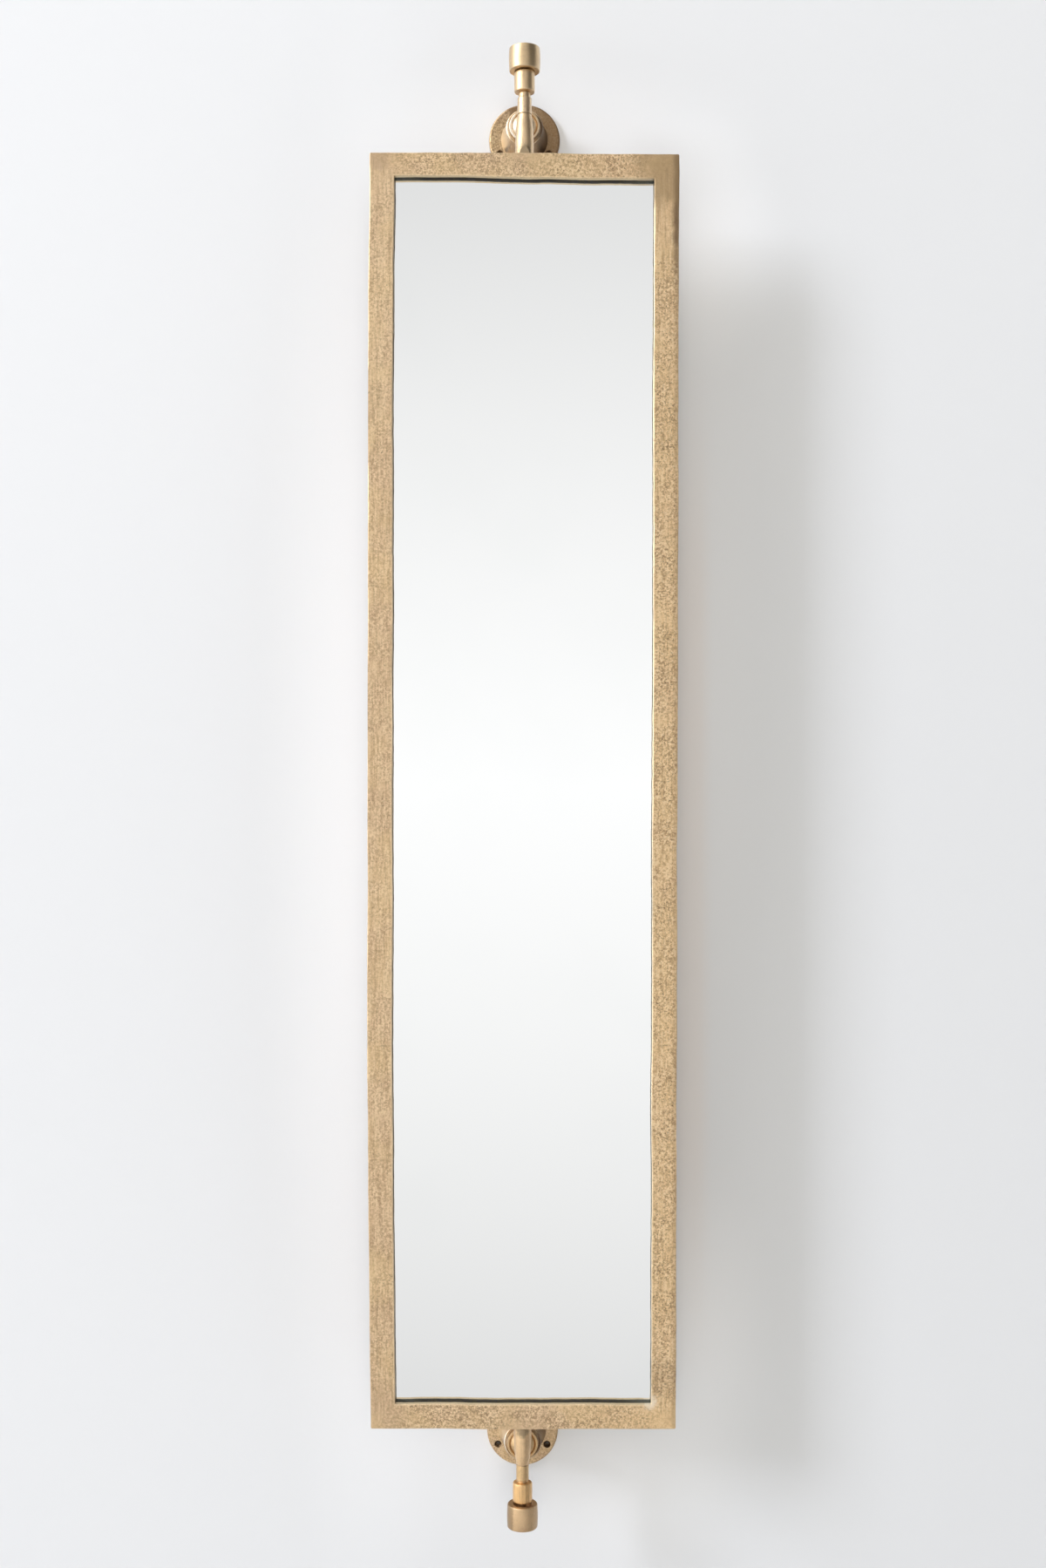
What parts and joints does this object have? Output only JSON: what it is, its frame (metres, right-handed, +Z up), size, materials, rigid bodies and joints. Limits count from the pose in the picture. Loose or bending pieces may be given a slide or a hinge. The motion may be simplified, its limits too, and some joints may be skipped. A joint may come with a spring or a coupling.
{
  "type": "pivot wall mirror",
  "caption": "Tall narrow mirror in a cast brass frame, turning about a vertical line on pivot screws between an upper and a lower wall bracket.",
  "frame": {"origin": "middle of the lower wall plate's back face, on the wall", "axes": "+Z up along the pivot line's direction, +X to the right of someone facing the mirror, +Y into the wall; the mirror faces -Y"},
  "size_m": [0.39, 0.155, 1.857],
  "materials": {
    "cast_brass": "sand-cast, pitted, antiqued",
    "turned_brass": "turned and brushed, antiqued",
    "silvered_glass": "silvered float glass",
    "black_seal": "matt black",
    "board": "plain brown board",
    "steel": "zinc plated",
    "nylon": "natural nylon"
  },
  "bodies": {
    "wall_brackets": {"upper_wall_plate": "cast_brass", "upper_bell": "turned_brass", "upper_arm_bolt": "steel", "upper_arm": "turned_brass", "lower_wall_plate": "cast_brass", "lower_bell": "turned_brass", "lower_arm_bolt": "steel", "lower_arm": "turned_brass", "lower_washer": "turned_brass"},
    "mirror_frame": {"left_stile": "cast_brass", "right_stile": "cast_brass", "top_rail": "cast_brass", "bottom_rail": "cast_brass", "upper_stub": "turned_brass", "lower_stub": "turned_brass", "mirror_glass": "silvered_glass", "glass_seal": "black_seal", "setting_blocks": "black_seal", "backing_board": "board", "retaining_clips": "turned_brass", "clip_screws": "steel", "upper_washer": "turned_brass"},
    "upper_bush_carrier": {"upper_bush": "nylon"},
    "upper_pivot_screw": {"upper_pivot_pin": "turned_brass", "upper_collar": "turned_brass", "upper_cap": "turned_brass"},
    "lower_bush_carrier": {"lower_bush": "nylon"},
    "lower_pivot_screw": {"lower_pivot_pin": "turned_brass", "lower_collar": "turned_brass", "lower_cap": "turned_brass"}
  },
  "joints": [
    {"name": "mirror_pivot", "type": "hinge", "parent": "wall_brackets", "child": "mirror_frame", "pos_m": [0, -0.135, 0.85], "axis": [0, 0, 1], "range_deg": [-38, 38]},
    {"name": "upper_screw_travel", "type": "slide", "parent": "wall_brackets", "child": "upper_bush_carrier", "axis": [0, 0, 1], "range_m": [0, 0.018]},
    {"name": "upper_screw_turn", "type": "hinge", "parent": "upper_bush_carrier", "child": "upper_pivot_screw", "pos_m": [0, -0.135, 1.715], "axis": [0, 0, 1], "range_deg": [0, 3240]},
    {"name": "lower_screw_travel", "type": "slide", "parent": "wall_brackets", "child": "lower_bush_carrier", "axis": [0, 0, -1], "range_m": [0, 0.018]},
    {"name": "lower_screw_turn", "type": "hinge", "parent": "lower_bush_carrier", "child": "lower_pivot_screw", "pos_m": [0, -0.135, 0], "axis": [0, 0, -1], "range_deg": [0, 3240]}
  ],
  "couplings": [
    {"joint": "upper_screw_turn", "follows": "upper_screw_travel", "rad_per_m": 3141.6},
    {"joint": "lower_screw_turn", "follows": "lower_screw_travel", "rad_per_m": 3141.6}
  ]
}
